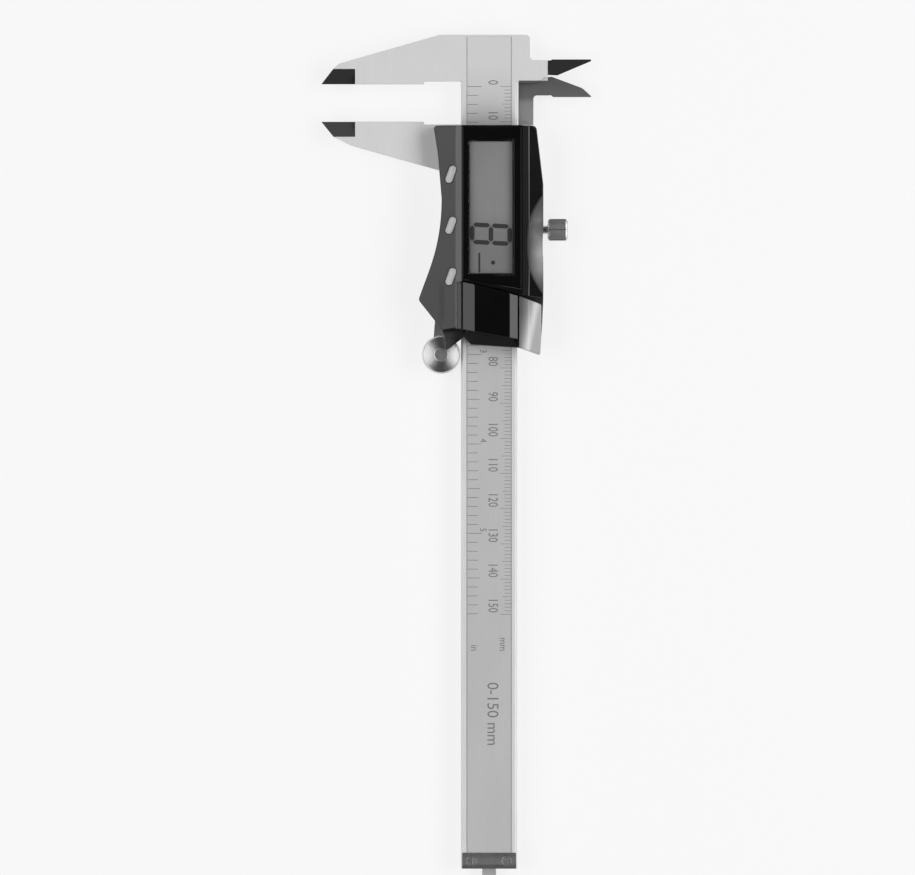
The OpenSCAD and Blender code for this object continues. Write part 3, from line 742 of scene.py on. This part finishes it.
def print_block(bm, x0, x1, y0, y1):
    """A printed bar on the film, between two corners from BEAM."""
    half = Vector((0, 0, PRINT_T / 2))
    add_block(bm, on_film(x0, y0) - half, on_film(x1, y1) + half)


def print_tick(bm, x, y0, y1, w):
    print_block(bm, x - w / 2, x + w / 2, y0, y1)


def tick_length(n, lengths):
    """Length of tick n out of those for every tenth, every fifth, and the rest."""
    return lengths[0] if n % 10 == 0 else lengths[1] if n % 5 == 0 else lengths[2]


def scale_print():
    """Millimetres along the inside-jaw edge, tenths of an inch along the other, and their figures."""
    bm = bmesh.new()
    edge = FILM_HALF - TICK_INSET
    for n in range(SCALE_LEN + 1):
        print_tick(bm, SCALE_ZERO + n, edge - tick_length(n, MM_TICKS), edge, TICK_W)
    for n in range(10 * INCHES):
        print_tick(bm, SCALE_ZERO + n * INCH / 10, -edge, tick_length(n, INCH_TICKS) - edge, INCH_TICK_W)
    dx, y, size, narrow = MM_FIGURE
    for n in range(0, SCALE_LEN + 1, 10):
        add_text(bm, str(n), on_film(SCALE_ZERO + n + dx, y), size, narrow)
    dx, y, size, narrow = INCH_FIGURE
    for n in range(1, INCHES):
        add_text(bm, str(n), on_film(SCALE_ZERO + n * INCH + dx, y), size, narrow)
    for unit, y in UNITS.items():
        add_text(bm, unit, on_film(UNIT_X, y), UNIT_SIZE)
    for side in (-1, 1):
        y = side * (FILM_HALF - BORDER_Y)
        print_block(bm, film_low.x - BEAM.x + BORDER_INSET, film_high.x - BEAM.x - BORDER_INSET,
                    y - BORDER_HALF_W, y + BORDER_HALF_W)
    new_piece("scale_figures", bm, "beam", SCALE_INK)


def range_legend():
    """A plain legend of the measuring range."""
    bm = bmesh.new()
    add_text(bm, "0-150 mm", on_film(*LEGEND_AT), LEGEND_SIZE, LEGEND_NARROW, "LEFT")
    new_piece("range_legend", bm, "beam", SCALE_INK)


scale_print()
range_legend()


# ---------------------------------------------------------------- display

lens_low, lens_high = mm_box("display_lens")
MARK_LIFT = 0.02
MARK_Z = mm_box("lcd_glass")[1].z + MARK_LIFT
# Gap at each end of a segment, as a share of its width
SEGMENT_GAP = 0.18
DIGIT_LEAN = 0.06
# Segments of a figure in the order a to g, as ends on a 1 by 2 grid
SEGMENTS = [((0, 2), (1, 2)), ((1, 2), (1, 1)), ((1, 1), (1, 0)), ((0, 0), (1, 0)),
            ((0, 1), (0, 0)), ((0, 2), (0, 1)), ((0, 1), (1, 1))]
# The figure's near side along the window, and its size
FIGURE_X = 24.0
FIGURE_W = 4.9
FIGURE_H = 10.6
FIGURE_BAR = 1.25
# The dash and dot past the figure, from its lower left corner
DASH_X = (7.8, 13.8)
DASH_Y = 2.0
DASH_BAR = 0.5
DOT_AT = (10.8, 5.9)
DOT_R = 0.6
DOT_STEPS = 20


def segment(bm, start, end, w):
    """One pointed bar of a figure."""
    a, b = Vector(start), Vector(end)
    along = (b - a).normalized()
    side = Vector((-along.y, along.x)) * w / 2
    a, b = a + along * w * SEGMENT_GAP, b - along * w * SEGMENT_GAP
    outline = [a, a + along * w / 2 + side, b - along * w / 2 + side, b,
               b - along * w / 2 - side, a + along * w / 2 - side]
    add_mark(bm, outline)


def add_mark(bm, outline):
    """A flat mark on the display's glass."""
    add_rings(bm, [[(x, y, MARK_Z + z) for x, y in outline] for z in (0, PRINT_T)])


def figure(bm, x, y):
    """All seven segments of a figure, its lower left corner at x, y."""
    for ends in SEGMENTS:
        a, b = [(x + (u + DIGIT_LEAN * v) * FIGURE_W, y + v * FIGURE_H / 2) for u, v in ends]
        segment(bm, a, b, FIGURE_BAR)


def display_figures():
    """The one figure that shows, and the dash and dot after it."""
    bm = bmesh.new()
    x = lens_low.x + FIGURE_X
    y = (lens_low.y + lens_high.y) / 2 - FIGURE_H / 2
    figure(bm, x, y)
    segment(bm, (x + DASH_X[0], y + DASH_Y), (x + DASH_X[1], y + DASH_Y), DASH_BAR)
    turns = [math.tau * k / DOT_STEPS for k in range(DOT_STEPS)]
    add_mark(bm, [(x + DOT_AT[0] + DOT_R * math.cos(a), y + DOT_AT[1] + DOT_R * math.sin(a)) for a in turns])
    new_piece("display_figure", bm, "slider", DISPLAY_INK)


display_figures()


# ---------------------------------------------------------------- buttons

# A point on the grip panel's crest, as (y, z) from SLIDER, and the panel's rise for each mm of y
GRIP_CREST = Vector((-9.6, 10.4))
GRIP_SLOPE = 0.3235
# A cap's height over the panel, and its turn about z
BUTTON_PROUD = 0.52
BUTTON_TURN = math.radians(-20)
BUTTON_LEN = 5.2
BUTTON_W = 2.1
# The cap's rounded top edge, as (inset, drop below the crown)
BUTTON_DOME = [(0, 0.42), (0.06, 0.26), (0.2, 0.12), (0.42, 0.04), (0.8, -0.02), (1.3, -0.06), (1.8, -0.08)]
# The stem that presses the switch
STEM_LEN = 1.8
STEM_W = 1.79
STEM_H = 0.25
# The flange that keeps a cap in: longer than it, narrower, and this thick
FLANGE_LONGER = 0.6
FLANGE_NARROWER = 0.4
FLANGE_T = 1
STADIUM_STEPS = 12


def stadium(long, wide):
    """Outline of a slot shape, long along u."""
    r = wide / 2
    points = []
    for side in (1, -1):
        for k in range(STADIUM_STEPS + 1):
            a = math.pi * k / STADIUM_STEPS - math.pi / 2
            points.append(Vector((side * ((long - wide) / 2 + r * math.cos(a)), side * r * math.sin(a))))
    return points


def grip_z(y):
    """Height of the grip panel at y."""
    return SLIDER.z + GRIP_CREST.y + GRIP_SLOPE * (y - SLIDER.y - GRIP_CREST.x)


def button(node):
    """A push button: stem, flange and a softly domed cap that follows the grip panel's slope."""
    low, high = mm_box(node)
    centre = ((low + high) / 2).xy
    turn = Matrix.Rotation(BUTTON_TURN, 2)
    foot = low.z + STEM_H
    stem = stadium(STEM_LEN, STEM_W)
    flange = stadium(BUTTON_LEN + FLANGE_LONGER, BUTTON_W - FLANGE_NARROWER)
    flat = [(stem, low.z), (stem, foot), (flange, foot), (flange, foot + FLANGE_T),
            (stadium(BUTTON_LEN, BUTTON_W), foot + FLANGE_T)]
    rings = []
    for outline, z in flat:
        rings.append([(*(centre + turn @ p), z) for p in outline])
    for inset, drop in BUTTON_DOME:
        spots = [centre + turn @ p for p in stadium(BUTTON_LEN - inset, BUTTON_W - inset)]
        rings.append([(p.x, p.y, grip_z(p.y) + BUTTON_PROUD - drop) for p in spots])
    bm = bmesh.new()
    add_rings(bm, rings)
    new_piece(node + "_cap", bm, node, MATERIAL["silver_plastic"], smooth_angle=50,
              replaces=[node])


for node_name in BUTTONS:
    button(node_name)


# ---------------------------------------------------------------- knurled pieces

KNURL_DEPTH = 0.24
# How far each of a tooth's four points lies under the rim, as a share of the knurl's depth
TOOTH = (0, 0.5, 1, 0.5)
ROLLER_TEETH = 60
ROLLER_BORE = 1.25
ROLLER_DISH_R = 2.7
ROLLER_DISH = 0.05
# Points of the first and last ring are this near
SAME_RING = 1e-5
# Rims of a knurled piece at its two ends, as (inset, depth in from the end, knurled)
ROLLER_BACK = [(2, 0, 0), (0.9, 0, 0), (0.55, 0.1, 0), (0, 0.55, 1)]
ROLLER_FACE = [(0, 0.55, 1), (0.5, 0.06, 0), (0.75, 0, 0), (1.0, 0, 0), (1.15, ROLLER_DISH, 0)]
LOCK_TEETH = 32
LOCK_HEAD = 5.8
LOCK_SHANK_R = 1.25
LOCK_CHAMFER = 0.2
# How far short of the head the shank's profile ends
LOCK_STEP = 0.02
LOCK_BACK = [(0.7, 0, 0), (0.35, 0.15, 0), (0, 0.55, 1)]
LOCK_FACE = [(0, 0.6, 1), (0.35, 0.2, 0), (0.6, 0, 0), (1.1, 0, 0), (1.3, 0.15, 0)]


def rimmed(r, start, end, back, face):
    """Profile of a knurled band from start to end, with its two rims."""
    return ([(r - inset, start + depth, cut) for inset, depth, cut in back]
            + [(r - inset, end - depth, cut) for inset, depth, cut in face])


def knurled(profile, teeth, place, turn=None):
    """Rings of a turned piece about z. profile is (radius, z, knurled) from one end to the other."""
    rings = []
    steps = teeth * len(TOOTH)
    for r, z, cut in profile:
        ring = []
        for k in range(steps):
            a = math.tau * k / steps
            fall = KNURL_DEPTH * TOOTH[k % len(TOOTH)] if cut else 0
            point = Vector(((r - fall) * math.cos(a), (r - fall) * math.sin(a), z))
            ring.append(place + (turn @ point if turn else point))
        rings.append(ring)
    return rings


def thumb_roller():
    """Straight-knurled steel roller with chamfered rims and a dished, turned face."""
    low, high = mm_box("thumb_roller")
    centre = (low + high) / 2
    h = high.z - low.z
    dish = h - ROLLER_DISH
    profile = [(ROLLER_BORE, 0, 0), *rimmed((high.x - low.x) / 2, 0, h, ROLLER_BACK, ROLLER_FACE),
               (ROLLER_DISH_R, dish, 0), (ROLLER_BORE, dish, 0)]
    bm = bmesh.new()
    rings = knurled(profile, ROLLER_TEETH, Vector((centre.x, centre.y, low.z)))
    add_rings(bm, rings + [rings[0]], capped=False)
    bmesh.ops.remove_doubles(bm, verts=bm.verts, dist=SAME_RING)
    new_piece("thumb_roller_turned", bm, "thumb_roller", turned_face(), smooth_angle=25,
              replaces=["thumb_roller"], origin=centre)


def lock_screw():
    """Thumb screw: a plain shank and a knurled head with chamfered rims and a dished end."""
    low, high = mm_box("lock_screw")
    length = high.y - low.y
    start = length - LOCK_HEAD
    profile = [(LOCK_SHANK_R - LOCK_CHAMFER, 0, 0), (LOCK_SHANK_R, LOCK_CHAMFER, 0),
               (LOCK_SHANK_R, start - LOCK_STEP, 0),
               *rimmed((high.x - low.x) / 2, start, length, LOCK_BACK, LOCK_FACE)]
    to_y = Matrix.Rotation(math.radians(-90), 3, "X")
    place = Vector(((low.x + high.x) / 2, low.y, (low.z + high.z) / 2))
    bm = bmesh.new()
    add_rings(bm, knurled(profile, LOCK_TEETH, place, to_y))
    new_piece("lock_screw_turned", bm, "lock_screw", MATERIAL["turned_steel"],
              smooth_angle=25, replaces=["lock_screw"])


thumb_roller()
lock_screw()


# ---------------------------------------------------------------- stage

# Width and middle of what the camera sees, and its height
VIEW_W = 260.2
VIEW_AT = Vector((100.46, 24.11, 0))
CAMERA_UP = 3000.0
SENSOR_W = 36
# These four are in metres
CAMERA_CLIP = (0.1, 20)
FLOOR_SIZE = 4
FLOOR_GAP = 0.0001
LAMP_AWAY = 1.2
# Radiance of the dome at angles from overhead, from the horizon up
DOME = [(90, 0.05), (80, 0.06), (66, 0.60), (34, 0.60), (16, 0.05)]
# Share of that left towards the beam's two ends. A ray leans sideways by END_LEAN or less where the
# dome is that dim, and by SIDE_LEAN or more where it is full
END_SHARE = 0.12
END_LEAN = 0.25
SIDE_LEAN = 0.6


def add_floor():
    """A pale light table, just under the object."""
    bm = bmesh.new()
    bmesh.ops.create_grid(bm, x_segments=1, y_segments=1, size=FLOOR_SIZE)
    mesh = bpy.data.meshes.new("floor")
    bm.to_mesh(mesh)
    bm.free()
    floor = bpy.data.objects.new("floor", mesh)
    bpy.context.scene.collection.objects.link(floor)
    floor.location = (0, 0, cad_box[0][2] - FLOOR_GAP)
    m = Nodes("light_table", Emission_Color=grey(1), Emission_Strength=0.785)
    grain = m.noise(300, detail=3)
    colour = m.ramp(grain, [(0, 0.115), (1, 0.125)])
    mesh.materials.append(m.finish(colour, m.spread(grain, 0.75, 0.85)))


def add_dome():
    """Soft light from the whole sky, dim overhead and brightest to the beam's two sides."""
    world = bpy.data.worlds.new("studio")
    bpy.context.scene.world = world
    world.use_nodes = True
    sky = Tree(world.node_tree)
    split = sky.node("SeparateXYZ", {0: sky.node("TexCoord").outputs["Generated"]})
    stops = [(math.cos(math.radians(off_axis)), radiance) for off_axis, radiance in DOME]
    by_height = sky.ramp(split.outputs["Z"], stops)
    sideways = sky.math("ABSOLUTE", split.outputs["Y"])
    by_side = sky.share(sideways, END_LEAN, SIDE_LEAN, END_SHARE, 1.0)
    shade = sky.node("Background", {0: grey(1), 1: sky.math("MULTIPLY", by_height, by_side)})
    sky.node("OutputWorld", {0: shade.outputs[0]})


def soft_light(name, azimuth, tilt, size, radiance):
    """A rectangular soft box. azimuth turns it about z from +Y, tilt is its angle from overhead."""
    a, t = math.radians(azimuth), math.radians(tilt)
    back = Vector((math.sin(a) * math.sin(t), math.cos(a) * math.sin(t), math.cos(t)))
    light = bpy.data.lights.new(name, "AREA")
    light.shape = "RECTANGLE"
    light.size, light.size_y = size
    light.energy = radiance * math.pi * size[0] * size[1]
    lamp = bpy.data.objects.new(name, light)
    bpy.context.scene.collection.objects.link(lamp)
    lamp.location = VIEW_AT * MM + back * LAMP_AWAY
    lamp.rotation_mode = "QUATERNION"
    lamp.rotation_quaternion = back.to_track_quat("Z", "Y")
    lamp.visible_camera = False


def add_camera():
    """Looks straight down with a long lens, with the beam running down the picture."""
    data = bpy.data.cameras.new("camera")
    data.sensor_width = SENSOR_W
    data.lens = SENSOR_W * CAMERA_UP / VIEW_W
    data.clip_start, data.clip_end = CAMERA_CLIP
    made = bpy.data.objects.new("camera", data)
    bpy.context.scene.collection.objects.link(made)
    made.location = Vector((VIEW_AT.x, VIEW_AT.y, CAMERA_UP)) * MM
    made.rotation_euler = (0, 0, math.radians(90))
    bpy.context.scene.camera = made


add_floor()
add_dome()
soft_light("softbox_left", azimuth=180, tilt=45, size=(1.6, 0.85), radiance=2.65)
soft_light("softbox_right", azimuth=0, tilt=52, size=(1.6, 0.6), radiance=4.4)
add_camera()
bpy.context.scene.view_settings.view_transform = "Standard"
